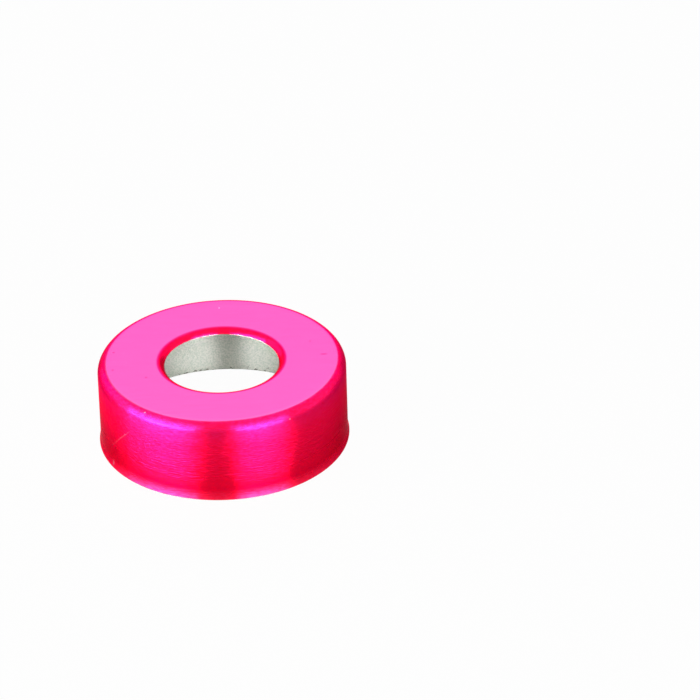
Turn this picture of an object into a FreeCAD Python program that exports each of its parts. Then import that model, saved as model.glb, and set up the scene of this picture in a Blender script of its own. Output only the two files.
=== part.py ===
import FreeCAD, Part
import math
import os

# Open-top crimp seal for a 20 mm neck, in millimetres. It stands on its open rim at z = 0,
# with +Z up through the centre hole. It is one cup of thin sheet, drawn, pierced and trimmed,
# so a single section turned about Z gives the whole of it, with the same thickness all over.

# Sheet and neck
SHEET = 0.20            # thickness of the aluminium sheet
NECK_DIAMETER = 20.0    # outside of the crimp finish that the skirt slides over
NECK_CLEARANCE = 0.10   # gap all round between that finish and the skirt
HEIGHT = 7.15           # open rim to top face

# Rounded shoulder between top and skirt
SHOULDER_RADIUS = 0.86  # measured on the outside

# Centre hole, its edge curled down into the cup
HOLE_DIAMETER = 9.5     # narrowest, at the end of the lip
LIP_RADIUS = 0.78       # bend of the lip, measured on the outside
LIP_ANGLE = 58.0        # degrees that the lip is turned down from the flat top
LIP_FLANK = 0.08        # short straight end of the lip past its bend

# Open rim, belled out a little so that the seal starts easily over the neck
FLARE_HEIGHT = 0.82     # height of the belled band
FLARE_REACH = 0.12      # how far the rim stands out from the skirt

# The two sheared edges, broken at their corners
EDGE_BREAK = 0.04

# Sizes that follow from those above
bore_radius = NECK_DIAMETER / 2 + NECK_CLEARANCE
skirt_radius = bore_radius + SHEET
shoulder_start = skirt_radius - SHOULDER_RADIUS
flare_radius = (FLARE_HEIGHT ** 2 + FLARE_REACH ** 2) / (2 * FLARE_REACH)
edge_break = min(EDGE_BREAK, SHEET / 4)
upright = math.pi / 2
lip_end = upright + math.radians(LIP_ANGLE)
lip_start = (HOLE_DIAMETER / 2 - LIP_RADIUS * math.cos(lip_end)
             + (LIP_FLANK - edge_break) * math.sin(lip_end))


def point(radius, height):
    """A point of the section, which lies in the XZ plane."""
    return FreeCAD.Vector(radius, 0, height)


def on_circle(centre, radius, angle):
    """The point of a circle in the section at an angle from +X towards +Z."""
    return centre + point(radius * math.cos(angle), radius * math.sin(angle))


def bend(centre, radius, start, end):
    """An arc of the section between two angles."""
    angles = (start, (start + end) / 2, end)
    return Part.Arc(*[on_circle(centre, radius, angle) for angle in angles]).toShape()


# Centres of the three bends, each shared by both faces of the sheet
lip_centre = point(lip_start, HEIGHT - LIP_RADIUS)
shoulder_centre = point(shoulder_start, HEIGHT - SHOULDER_RADIUS)
flare_centre = point(skirt_radius + flare_radius, FLARE_HEIGHT)

# Direction of the lip's straight end, down and into the hole
lip_way = on_circle(point(0, 0), 1, lip_end + upright)


def lip_face(depth, reach):
    """A point of the lip's straight end, depth below the outside and reach past the bend."""
    return on_circle(lip_centre, LIP_RADIUS - depth, lip_end) + lip_way * reach


def flare_face(depth, height):
    """A point of the belled band, depth below the outside and at a height above the ground."""
    turn = math.asin((FLARE_HEIGHT - height) / (flare_radius + depth))
    return on_circle(flare_centre, flare_radius + depth, math.pi + turn)


def skin(depth):
    """One face of the sheet, depth below the outside, as edges from hole to open rim.

    Each bend keeps one centre for both faces, which keeps the sheet's thickness even.
    """
    flank = Part.makeLine(lip_face(depth, LIP_FLANK - edge_break), lip_face(depth, 0))
    lip = bend(lip_centre, LIP_RADIUS - depth, lip_end, upright)
    top = Part.makeLine(point(lip_start, HEIGHT - depth), point(shoulder_start, HEIGHT - depth))
    shoulder = bend(shoulder_centre, SHOULDER_RADIUS - depth, upright, 0)
    wall = Part.makeLine(point(skirt_radius - depth, HEIGHT - SHOULDER_RADIUS),
                         point(skirt_radius - depth, FLARE_HEIGHT))
    middle, bottom = flare_face(depth, FLARE_HEIGHT / 2), flare_face(depth, edge_break)
    flare = Part.Arc(flare_face(depth, FLARE_HEIGHT), middle, bottom).toShape()
    return [flank, lip, top, shoulder, wall, flare]


def section():
    """The sheet's section: its two faces, joined by the hole's cut edge and the open rim's."""
    broken = edge_break, SHEET - edge_break
    reach = LIP_FLANK - edge_break
    lip_cut = Part.makePolygon([
        lip_face(0, reach), *[lip_face(depth, LIP_FLANK) for depth in broken],
        lip_face(SHEET, reach)])
    rim_cut = Part.makePolygon([
        flare_face(0, edge_break), *[flare_face(depth, 0) for depth in broken],
        flare_face(SHEET, edge_break)])
    edges = skin(0) + skin(SHEET) + lip_cut.Edges + rim_cut.Edges
    return Part.Face(Part.Wire(Part.__sortEdges__(edges)))


def seal_shell():
    """The whole seal: the section turned once about the vertical axis."""
    return section().revolve(point(0, 0), FreeCAD.Vector(0, 0, 1), 360)


os.makedirs("parts", exist_ok=True)
shell = seal_shell()
shell.exportStep("parts/seal_shell.step")
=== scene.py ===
import math

import bmesh
import bpy
from mathutils import Matrix, Vector


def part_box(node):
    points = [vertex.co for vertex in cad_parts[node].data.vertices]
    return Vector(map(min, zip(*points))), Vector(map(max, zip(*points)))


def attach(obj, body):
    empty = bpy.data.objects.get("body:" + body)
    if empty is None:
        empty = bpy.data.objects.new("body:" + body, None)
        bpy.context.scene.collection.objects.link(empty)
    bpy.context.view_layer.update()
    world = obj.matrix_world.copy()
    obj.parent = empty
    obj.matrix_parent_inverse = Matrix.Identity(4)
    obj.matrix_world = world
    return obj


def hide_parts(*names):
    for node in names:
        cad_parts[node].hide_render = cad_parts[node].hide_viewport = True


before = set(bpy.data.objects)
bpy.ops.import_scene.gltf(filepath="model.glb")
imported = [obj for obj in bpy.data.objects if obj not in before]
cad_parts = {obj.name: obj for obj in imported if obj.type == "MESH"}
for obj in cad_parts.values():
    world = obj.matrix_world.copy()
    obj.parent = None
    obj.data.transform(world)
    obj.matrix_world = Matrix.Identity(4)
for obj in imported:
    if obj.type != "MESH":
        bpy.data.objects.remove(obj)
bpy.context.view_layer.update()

# Sizes of the seal, in metres, the same as those of its solid
MM = 0.001
SHEET = 0.20 * MM             # thickness of the aluminium
SHOULDER_RADIUS = 0.86 * MM   # outside of the rounded shoulder
LIP_RADIUS = 0.78 * MM        # outside of the bend round the hole
LIP_TURN = math.radians(58)   # how far the lip is turned down
LIP_FLANK = 0.08 * MM         # straight end of the lip
FLARE_HEIGHT = 0.82 * MM      # belled band at the open rim
FLARE_REACH = 0.12 * MM       # how far it stands out
FLARE_OVERRUN = 1.2           # it is first made this much too long and then trimmed level
HOLE_RADIUS = 4.75 * MM       # narrowest, at the end of the lip
SKIRT_RADIUS = 10.3 * MM      # outside of the straight skirt
EDGE_BREAK = 0.04 * MM        # broken corners of the two sheared edges
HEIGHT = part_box("seal_shell")[1][2]

# Fineness of the turned mesh
STEPS_ROUND = 256
STEPS_ARC = 14
STEPS_STRAIGHT = 14
STEPS_EDGE = 3
SHEARED = math.radians(60)    # only the corners of the sheared edges turn more than this
CREASED = math.radians(40)    # shading doesn't run on over a corner that turns more than this

# The shell's two materials
OUTSIDE, INSIDE = 0, 1

# Where the photograph's camera stood
PHOTO_WIDTH = 700               # the photograph is square
SEAL_PIXEL = (223.1, 396.3)     # where the middle of the seal falls in the photograph
FOCAL_PIXELS = 5347.6
CAMERA_DEPTH = 444.1 * MM       # from the camera to the middle of the seal, along its view
CAMERA_ELEVATION = math.radians(31.09)
CAMERA_ROLL = math.radians(1.68)
SENSOR_WIDTH = 36.0

# The studio
FLOOR_SIZE = 0.6
FLOOR_SEEN = 0.975              # how much of the floor is plain white to the camera
FLOOR_MIRRORED = 0.145          # and in the seal's own reflections, where it is a little warm
LAMP_DISTANCE = 0.4             # from the seal's middle
ROOM_LIGHT = 0.1                # how much the room lights the floor; the metal mirrors it in full
middle = Vector((0, 0, HEIGHT / 2))


def linear(code):
    """A colour written as sRGB hex, as the linear numbers that a shader takes."""
    channels = [int(code[i:i + 2], 16) / 255 for i in (1, 3, 5)]
    return [c / 12.92 if c <= 0.04045 else ((c + 0.055) / 1.055) ** 2.4 for c in channels] + [1.0]


SMOOTH = {"interpolation_type": "SMOOTHSTEP"}
COLOUR = {"data_type": "RGBA"}
NUMBER = {"data_type": "FLOAT"}


def add(tree, kind, settings=None, **inputs):
    """Adds one shader node: settings are its own properties, inputs its values or links."""
    node = tree.nodes.new("ShaderNode" + kind)
    for name, value in (settings or {}).items():
        setattr(node, name, value)
    for name, value in inputs.items():
        key = int(name[1:]) if name[1:].isdigit() else name.replace("_", " ")
        socket = node.inputs[key]
        if isinstance(value, bpy.types.NodeSocket):
            tree.links.new(value, socket)
        else:
            socket.default_value = value
    return node


def new_material(name):
    """An empty node material and its tree."""
    material = bpy.data.materials.new(name)
    material.use_nodes = True
    material.node_tree.nodes.clear()
    return material, material.node_tree


# The shell's shape

def go_straight(bm, start, way, length, steps):
    """Carries the section on from a vertex in a straight line. Gives the last vertex."""
    for _ in range(steps):
        start = bmesh.ops.extrude_vert_indiv(bm, verts=[start])["verts"][0]
        bmesh.ops.translate(bm, verts=[start], vec=way * (length / steps))
    return start


def go_round(bm, start, centre, angle, steps):
    """Carries the section on from a vertex along an arc about centre. Gives the last vertex."""
    turned = bmesh.ops.spin(bm, geom=[start], cent=centre, axis=(0, 1, 0), angle=angle, steps=steps)
    return next(part for part in turned["geom_last"] if isinstance(part, bmesh.types.BMVert))


def outside_section(bm):
    """The outside of the sheet, walked from the end of the lip to just below the open rim."""
    lip_start = (HOLE_RADIUS + LIP_RADIUS * math.sin(LIP_TURN)
                 + (LIP_FLANK - EDGE_BREAK) * math.cos(LIP_TURN))
    out_of_hole = Vector((math.cos(LIP_TURN), 0, math.sin(LIP_TURN)))
    lip_centre = Vector((lip_start, 0, HEIGHT - LIP_RADIUS))
    bend_end = lip_centre + LIP_RADIUS * Vector((-math.sin(LIP_TURN), 0, math.cos(LIP_TURN)))
    shoulder_start = SKIRT_RADIUS - SHOULDER_RADIUS
    flare_radius = (FLARE_HEIGHT ** 2 + FLARE_REACH ** 2) / (2 * FLARE_REACH)
    flare_turn = math.asin(FLARE_HEIGHT / flare_radius) * FLARE_OVERRUN

    end = bm.verts.new(bend_end - out_of_hole * LIP_FLANK)
    end = go_straight(bm, end, out_of_hole, LIP_FLANK, 1)
    end = go_round(bm, end, lip_centre, LIP_TURN, STEPS_ARC)
    end = go_straight(bm, end, Vector((1, 0, 0)), shoulder_start - lip_start, STEPS_STRAIGHT)
    end = go_round(bm, end, (shoulder_start, 0, HEIGHT - SHOULDER_RADIUS), math.pi / 2, STEPS_ARC)
    wall = HEIGHT - SHOULDER_RADIUS - FLARE_HEIGHT
    end = go_straight(bm, end, Vector((0, 0, -1)), wall, STEPS_STRAIGHT)
    go_round(bm, end, (SKIRT_RADIUS + flare_radius, 0, FLARE_HEIGHT), -flare_turn, STEPS_ARC)


def turned_shell():
    """The shell's mesh: the section turned about Z, thickened inwards and trimmed flat."""
    bm = bmesh.new()
    outside_section(bm)
    bmesh.ops.spin(bm, geom=bm.verts[:] + bm.edges[:], axis=(0, 0, 1), cent=(0, 0, 0),
                   angle=2 * math.pi, steps=STEPS_ROUND, use_merge=True)
    bmesh.ops.remove_doubles(bm, verts=bm.verts, dist=SHEET / 100)
    bmesh.ops.recalc_face_normals(bm, faces=bm.faces)
    top = max(bm.faces, key=lambda face: face.calc_center_median().z)
    if top.normal.z < 0:
        bmesh.ops.reverse_faces(bm, faces=bm.faces)
    outside = bm.faces[:]
    bmesh.ops.solidify(bm, geom=outside, thickness=SHEET)
    outside = set(outside)
    for face in bm.faces:
        face.material_index = OUTSIDE if face in outside else INSIDE

    # The open rim is trimmed level with the ground and closed again
    trimmed = bmesh.ops.bisect_plane(bm, geom=bm.verts[:] + bm.edges[:] + bm.faces[:],
                                     plane_co=(0, 0, 0), plane_no=(0, 0, 1), clear_inner=True)
    rim = [part for part in trimmed["geom_cut"] if isinstance(part, bmesh.types.BMEdge)]
    for face in bmesh.ops.bridge_loops(bm, edges=rim)["faces"]:
        face.material_index = INSIDE

    # Both sheared edges lose their sharp corners
    sharp = [edge for edge in bm.edges
             if edge.is_manifold and edge.calc_face_angle() > SHEARED]
    bmesh.ops.bevel(bm, geom=sharp, offset=EDGE_BREAK, offset_type="OFFSET",
                    segments=STEPS_EDGE, profile=0.5, affect="EDGES", material=-1)
    return bm


def seal_shell(outside_finish, inside_finish):
    """The whole seal as one piece with its two finishes."""
    bm = turned_shell()
    mesh = bpy.data.meshes.new("crimp_seal")
    bm.to_mesh(mesh)
    bm.free()
    mesh.materials.append(outside_finish)
    mesh.materials.append(inside_finish)
    mesh.polygons.foreach_set("use_smooth", [True] * len(mesh.polygons))
    mesh.set_sharp_from_angle(angle=CREASED)
    piece = bpy.data.objects.new("crimp_seal", mesh)
    bpy.context.scene.collection.objects.link(piece)
    return piece


def mark(tree, place, middle, reach, turn=(0, 0, 0)):
    """A small soft-edged mark on the surface: 1 in its middle and 0 beyond its reach."""
    local = add(tree, "Mapping", {"vector_type": "TEXTURE"}, _0=place, Location=middle,
                Rotation=turn, Scale=reach).outputs[0]
    away = add(tree, "VectorMath", {"operation": "LENGTH"}, _0=local).outputs["Value"]
    return add(tree, "MapRange", SMOOTH, Value=away, From_Min=1.0, From_Max=0.4).outputs[0]


def most(tree, masks):
    """The strongest of several masks."""
    strongest = masks[0]
    for other in masks[1:]:
        strongest = add(tree, "Math", {"operation": "MAXIMUM"}, _0=strongest, _1=other).outputs[0]
    return strongest


def on_skirt(side, height, out=0.0):
    """A point of the skirt at so many degrees round from the front, and at a height in mm."""
    turn = math.radians(side)
    radius = SKIRT_RADIUS + out * MM
    return (radius * math.sin(turn), -radius * math.cos(turn), height * MM)


def on_flat(across, back):
    """A point of the flat top, in mm to the right of its middle and towards the back."""
    return (across * MM, back * MM, HEIGHT)


def dyed_lacquer():
    """Clear rose lacquer baked on bright rolled aluminium.

    The eye sees metal through a deep rose dye: pale pink where it mirrors a lamp, red elsewhere.
    """
    material, tree = new_material("dyed lacquer on aluminium")
    place = add(tree, "TexCoord").outputs["Object"]
    height = add(tree, "SeparateXYZ", _0=place).outputs["Z"]
    level = add(tree, "VectorMath", {"operation": "MULTIPLY"}, _0=place, _1=(1, 1, 0)).outputs[0]
    radius = add(tree, "VectorMath", {"operation": "LENGTH"}, _0=level).outputs["Value"]

    # One even rose dye, with painted highlight lightening it over the top, the shoulder and the
    # belled rim and painted shade deepening it low on the skirt
    up_skirt = add(tree, "MapRange", SMOOTH, Value=height, From_Min=1.0 * MM,
                   From_Max=5.5 * MM).outputs[0]
    on_shoulder = add(tree, "MapRange", SMOOTH, Value=height, From_Min=4.7 * MM,
                      From_Max=6.6 * MM).outputs[0]
    on_bend = add(tree, "MapRange", SMOOTH, Value=height, From_Min=5.9 * MM,
                  From_Max=6.8 * MM).outputs[0]
    on_top = add(tree, "MapRange", SMOOTH, Value=height, From_Min=7.10 * MM,
                 From_Max=7.14 * MM).outputs[0]
    on_bell = add(tree, "MapRange", Value=height, From_Min=0.95 * MM,
                  From_Max=0.05 * MM).outputs[0]
    on_lip = add(tree, "MapRange", SMOOTH, Value=radius, From_Min=5.48 * MM,
                 From_Max=5.25 * MM).outputs[0]
    dye_and_painted_light = add(tree, "Mix", COLOUR, _0=up_skirt, _6=linear("#FF083E"),
              _7=linear("#FF0A46")).outputs[2]
    for zone, colour in ((on_shoulder, "#FF125B"), (on_bell, "#FF204D"), (on_top, "#FF3C6E"),
                         (on_lip, "#FF0A46")):
        dye_and_painted_light = add(tree, "Mix", COLOUR, _0=zone, _6=dye_and_painted_light, _7=linear(colour)).outputs[2]

    # Painted shade: the dye is darker in the crease where the bell begins
    painted_crease_shade = add(tree, "MapRange", SMOOTH, Value=height, From_Min=0.70 * MM,
                 From_Max=0.95 * MM).outputs[0]
    painted_crease_shade = add(tree, "MapRange", SMOOTH, Value=height, From_Min=1.45 * MM,
                 From_Max=1.05 * MM, To_Max=painted_crease_shade).outputs[0]
    dye_and_painted_light = add(tree, "Mix", COLOUR, _0=painted_crease_shade, _6=dye_and_painted_light, _7=linear("#F8033C")).outputs[2]

    # Drawing roughened the skirt, most of all below the shoulder, and left the top glossiest
    roughness = add(tree, "MapRange", Value=up_skirt, To_Min=0.24, To_Max=0.43).outputs[0]
    for zone, gloss in ((on_bend, 0.27), (on_bell, 0.32), (on_top, 0.12), (on_lip, 0.18)):
        roughness = add(tree, "Mix", NUMBER, _0=zone, _2=roughness, _3=gloss).outputs[0]

    # Level streaks from drawing, a little coarser than real: short dashes where the dye looks
    # thinner, and longer ridges in the metal, which fade out by the shoulder and the bell
    drawn = add(tree, "Mapping", _0=place, Scale=(1.0, 1.0, 3.0)).outputs[0]
    drawn = add(tree, "TexNoise", Vector=drawn, Scale=1 / (0.33 * MM), Detail=1.0,
                Roughness=0.5).outputs["Fac"]
    ridges = add(tree, "Mapping", _0=place, Scale=(1.0, 1.0, 9.0)).outputs[0]
    ridges = add(tree, "TexNoise", Vector=ridges, Scale=1 / (1.0 * MM), Detail=1.0,
                 Roughness=0.5).outputs["Fac"]
    low_skirt = add(tree, "MapRange", SMOOTH, Value=height, From_Min=2.2 * MM,
                    From_Max=1.1 * MM).outputs[0]
    calm = add(tree, "Math", {"operation": "MAXIMUM"}, _0=on_shoulder, _1=low_skirt).outputs[0]
    ridges = add(tree, "Mix", NUMBER, _0=calm, _2=ridges, _3=0.5).outputs[0]

    # The flat top has the sheet's faint straight grain from rolling in place of them
    rolled = add(tree, "Mapping", _0=place, Scale=(0.12, 1.0, 1.0)).outputs[0]
    rolled = add(tree, "TexNoise", Vector=rolled, Scale=1 / (0.25 * MM), Detail=2.0,
                 Roughness=0.5).outputs["Fac"]
    rolled = add(tree, "MapRange", Value=rolled, To_Min=0.465, To_Max=0.535).outputs[0]
    relief = add(tree, "Mix", NUMBER, _0=on_top, _2=ridges, _3=rolled).outputs[0]
    streaks = add(tree, "Mix", NUMBER, _0=on_top, _2=drawn, _3=rolled).outputs[0]
    green = add(tree, "MapRange", Value=streaks, From_Min=0.3, From_Max=0.7, To_Min=0.55,
                To_Max=1.45).outputs[0]
    blue = add(tree, "MapRange", Value=streaks, From_Min=0.3, From_Max=0.7, To_Min=0.76,
               To_Max=1.24).outputs[0]
    thinned = add(tree, "CombineXYZ", X=1.0, Y=green, Z=blue).outputs[0]
    dye_and_painted_light = add(tree, "VectorMath", {"operation": "MULTIPLY"}, _0=dye_and_painted_light, _1=thinned).outputs[0]

    # Bare matt metal shows along the sheared edge of the hole
    ragged = add(tree, "TexNoise", Vector=place, Scale=1 / (0.25 * MM), Detail=1.0).outputs["Fac"]
    ragged = add(tree, "MapRange", Value=ragged, From_Min=0.3, From_Max=0.7, To_Min=-0.03 * MM,
                 To_Max=0.03 * MM).outputs[0]
    edge = add(tree, "Math", {"operation": "ADD"}, _0=height, _1=ragged).outputs[0]
    edge = add(tree, "MapRange", Value=edge, From_Min=6.755 * MM, From_Max=6.72 * MM).outputs[0]
    edge = add(tree, "Math", {"operation": "MULTIPLY"}, _0=edge, _1=on_lip).outputs[0]
    roughness = add(tree, "Mix", NUMBER, _0=edge, _2=roughness, _3=0.55).outputs[0]

    # It also shows faintly in three specks, a nick at the open rim and a slanting scratch
    speck = (0.09 * MM, 0.09 * MM, 0.09 * MM)
    bare = most(tree, [
        mark(tree, place, on_skirt(-38.8, 7.0, -0.38), speck),
        mark(tree, place, on_skirt(33.0, 6.5, -0.03), speck),
        mark(tree, place, on_flat(-0.25, 8.38), speck),
        mark(tree, place, on_skirt(-62.2, 0.45), (0.18 * MM, 0.18 * MM, 0.36 * MM))])
    scratch = mark(tree, place, on_skirt(-56.3, 3.2), (2.9 * MM, 0.5 * MM, 0.04 * MM),
                   (0, math.radians(-44), math.radians(-56.3)))
    bare = add(tree, "Math", {"operation": "MULTIPLY_ADD"}, _0=scratch, _1=0.55,
               _2=bare).outputs[0]
    bare = add(tree, "Math", {"operation": "MULTIPLY"}, _0=bare, _1=0.4).outputs[0]
    bare = most(tree, [bare, edge])
    dye_and_painted_light = add(tree, "Mix", COLOUR, _0=bare, _6=dye_and_painted_light, _7=linear("#D8A4BC")).outputs[2]

    # Specks of dust baked into the lacquer of the top
    dust = most(tree, [
        mark(tree, place, on_flat(-8.97, 1.62), (0.13 * MM, 0.09 * MM, 0.1 * MM)),
        mark(tree, place, on_flat(-8.97, -1.18), (0.13 * MM, 0.09 * MM, 0.1 * MM)),
        mark(tree, place, on_flat(-6.20, -2.50), (0.12 * MM, 0.10 * MM, 0.1 * MM)),
        mark(tree, place, on_flat(7.35, 2.55), (0.11 * MM, 0.09 * MM, 0.1 * MM)),
        mark(tree, place, on_flat(8.47, 0.40), (0.40 * MM, 0.09 * MM, 0.1 * MM))])
    dye_and_painted_light = add(tree, "Mix", COLOUR, _0=dust, _6=dye_and_painted_light, _7=linear("#A01850")).outputs[2]

    # Level streaks spread each highlight up and down, and the clear coat adds a faint gloss
    bump = add(tree, "Bump", Height=relief, Strength=1.0, Distance=0.055 * MM).outputs[0]
    shader = add(tree, "BsdfPrincipled", Base_Color=dye_and_painted_light, Metallic=1.0, Roughness=roughness,
                 Anisotropic=1.0, Anisotropic_Rotation=0.25, Specular_Tint=linear("#E198B0"),
                 Coat_Weight=0.03, Coat_Roughness=0.1, Normal=bump)
    add(tree, "OutputMaterial", Surface=shader.outputs[0])
    return material


def bare_aluminium():
    """The sheet's uncoated inner face and the open rim: pale matt metal that sparkles.

    Its grain is drawn a little coarser than real.
    """
    material, tree = new_material("bare rolled aluminium")
    place = add(tree, "TexCoord").outputs["Object"]
    height = add(tree, "SeparateXYZ", _0=place).outputs["Z"]
    grain = add(tree, "TexNoise", Vector=place, Scale=1 / (0.15 * MM), Detail=1.0,
                Roughness=0.6).outputs["Fac"]
    sparkle = add(tree, "MapRange", SMOOTH, Value=grain, From_Min=0.35,
                  From_Max=0.65).outputs[0]
    metal = add(tree, "Mix", COLOUR, _0=sparkle, _6=linear("#E4ECE2"),
                _7=linear("#FCFEF6")).outputs[2]

    # Painted shade along the inside of the open rim, in a line and in specks above it
    patchy = add(tree, "TexNoise", Vector=place, Scale=1 / (0.3 * MM), Detail=1.0).outputs["Fac"]
    patchy = add(tree, "MapRange", Value=patchy, From_Min=0.60, From_Max=0.80,
                 To_Max=0.5 * MM).outputs[0]
    painted_rim_shade = add(tree, "Math", {"operation": "SUBTRACT"}, _0=height, _1=patchy).outputs[0]
    painted_rim_shade = add(tree, "MapRange", SMOOTH, Value=painted_rim_shade, From_Min=0.08 * MM,
                From_Max=0.0).outputs[0]
    metal = add(tree, "Mix", COLOUR, _0=painted_rim_shade, _6=metal, _7=linear("#A0A296")).outputs[2]
    bump = add(tree, "Bump", Height=grain, Strength=1.0, Distance=0.023 * MM).outputs[0]
    shader = add(tree, "BsdfPrincipled", Base_Color=metal, Metallic=1.0,
                 Roughness=0.46, Anisotropic=1.0, Anisotropic_Rotation=0.25, Normal=bump)
    add(tree, "OutputMaterial", Surface=shader.outputs[0])
    return material


seal = seal_shell(dyed_lacquer(), bare_aluminium())
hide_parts("seal_shell")
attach(seal, "root")


# Floor, lamps, room and camera

def direction(azimuth, elevation):
    """A unit vector from the seal: azimuth 0 is the camera's side and positive is rightwards."""
    side, rise = math.radians(azimuth), math.radians(elevation)
    return Vector((math.sin(side) * math.cos(rise), -math.cos(side) * math.cos(rise),
                   math.sin(rise)))


def floor():
    """A pale level floor that keeps the seal's soft shadow and is open from below."""
    material, tree = new_material("white card")
    path = add(tree, "LightPath").outputs
    mirrored = add(tree, "Math", {"operation": "MAXIMUM"}, _0=path["Is Glossy Ray"],
                   _1=path["Is Transmission Ray"]).outputs[0]
    share = add(tree, "Mix", NUMBER, _0=mirrored, _2=0.0, _3=FLOOR_MIRRORED).outputs[0]
    share = add(tree, "Mix", NUMBER, _0=path["Is Camera Ray"], _2=share,
                _3=FLOOR_SEEN).outputs[0]
    card = add(tree, "BsdfDiffuse", Color=linear("#868686")).outputs[0]
    tint = add(tree, "Mix", COLOUR, _0=mirrored, _6=(1, 1, 1, 1),
               _7=(0.87, 0.80, 0.66, 1)).outputs[2]
    white = add(tree, "Emission", Color=tint, Strength=1.0).outputs[0]
    top = add(tree, "MixShader", _0=share, _1=card, _2=white).outputs[0]
    below = add(tree, "BsdfTransparent").outputs[0]
    under = add(tree, "NewGeometry").outputs["Backfacing"]
    card = add(tree, "MixShader", _0=under, _1=top, _2=below).outputs[0]
    add(tree, "OutputMaterial", Surface=card)
    bm = bmesh.new()
    bmesh.ops.create_grid(bm, x_segments=1, y_segments=1, size=FLOOR_SIZE / 2)
    mesh = bpy.data.meshes.new("floor")
    bm.to_mesh(mesh)
    bm.free()
    mesh.materials.append(material)
    plane = bpy.data.objects.new("floor", mesh)
    bpy.context.scene.collection.objects.link(plane)


def softbox(name, azimuth, elevation, wide, tall, radiance):
    """A soft lamp facing the seal, its size in degrees and its brightness as a mirror shows it."""
    lamp = bpy.data.lights.new(name, "AREA")
    lamp.shape = "RECTANGLE"
    lamp.size = 2 * LAMP_DISTANCE * math.tan(math.radians(wide / 2))
    lamp.size_y = 2 * LAMP_DISTANCE * math.tan(math.radians(tall / 2))
    lamp.energy = radiance * math.pi * lamp.size * lamp.size_y
    holder = bpy.data.objects.new(name, lamp)
    way = direction(azimuth, elevation)
    holder.location = middle + way * LAMP_DISTANCE
    holder.rotation_mode = "QUATERNION"
    holder.rotation_quaternion = way.to_track_quat("Z", "Y")
    holder.visible_camera = False
    bpy.context.scene.collection.objects.link(holder)


def surroundings():
    """White behind the seal, and a plain pale room that is darker low and far on the right."""
    world = bpy.data.worlds.new("studio")
    bpy.context.scene.world = world
    world.use_nodes = True
    tree = world.node_tree
    tree.nodes.clear()
    way = add(tree, "TexCoord").outputs["Generated"]
    rightness = add(tree, "VectorMath", {"operation": "DOT_PRODUCT"}, _0=way,
                    _1=direction(112, -30)).outputs["Value"]
    shade = add(tree, "MapRange", SMOOTH, Value=rightness, From_Min=0.75, From_Max=0.92,
                To_Min=1.0, To_Max=0.1).outputs[0]
    far_right = add(tree, "VectorMath", {"operation": "DOT_PRODUCT"}, _0=way,
                    _1=direction(158, 6)).outputs["Value"]
    dimmed = add(tree, "MapRange", SMOOTH, Value=far_right, From_Min=0.89, From_Max=0.97,
                 To_Min=1.0, To_Max=0.45).outputs[0]
    shade = add(tree, "Math", {"operation": "MULTIPLY"}, _0=shade, _1=dimmed).outputs[0]
    path = add(tree, "LightPath").outputs
    room = add(tree, "Mix", NUMBER, _0=path["Is Glossy Ray"], _2=ROOM_LIGHT,
               _3=shade).outputs[0]
    level = add(tree, "Mix", NUMBER, _0=path["Is Camera Ray"], _2=room, _3=1.0).outputs[0]
    back = add(tree, "Background", Color=(1, 1, 1, 1), Strength=level).outputs[0]
    add(tree, "OutputWorld", Surface=back)


def camera():
    """The photograph's camera, placed so that the seal falls where it does there."""
    rise, roll = CAMERA_ELEVATION, CAMERA_ROLL
    forward = Vector((0, math.cos(rise), -math.sin(rise)))
    right = Vector((1, 0, 0))
    down = forward.cross(right)
    right, down = (right * math.cos(roll) + down * math.sin(roll),
                   down * math.cos(roll) - right * math.sin(roll))
    across = (SEAL_PIXEL[0] - PHOTO_WIDTH / 2) / FOCAL_PIXELS * CAMERA_DEPTH
    drop = (SEAL_PIXEL[1] - PHOTO_WIDTH / 2) / FOCAL_PIXELS * CAMERA_DEPTH
    eye = middle - forward * CAMERA_DEPTH - right * across - down * drop
    data = bpy.data.cameras.new("camera")
    data.sensor_width = SENSOR_WIDTH
    data.lens = FOCAL_PIXELS / PHOTO_WIDTH * SENSOR_WIDTH
    data.clip_start, data.clip_end = 0.01, 10
    holder = bpy.data.objects.new("camera", data)
    turn = Matrix((right, -down, -forward)).transposed().to_4x4()
    holder.matrix_world = Matrix.Translation(eye) @ turn
    bpy.context.scene.collection.objects.link(holder)
    bpy.context.scene.camera = holder


floor()

# The panel behind lights the flat top. Low in front, narrow bright strips make the bands on the
# skirt, and the tall softboxes above them the highlight on the shoulder and the light inside.
softbox("back_panel", 180, 37, 28, 46, 3.2)
softbox("left_strip", -56, 3, 64, 10, 28.0)
softbox("left_core", -52, 3, 36, 10, 30.0)
softbox("left_end", -95, 3, 14, 10, 6.0)
softbox("left_softbox", -58, 24, 68, 44, 7.5)
softbox("left_fill", -122, 26, 48, 40, 1.8)
softbox("right_strip", 32, 3, 42, 10, 26.0)
softbox("right_core", 29, 3, 22, 10, 20.0)
softbox("right_softbox", 35, 24, 48, 44, 5.9)
softbox("right_fill", 92, 22, 46, 26, 0.5)

surroundings()
camera()
bpy.context.scene.view_settings.view_transform = "Standard"
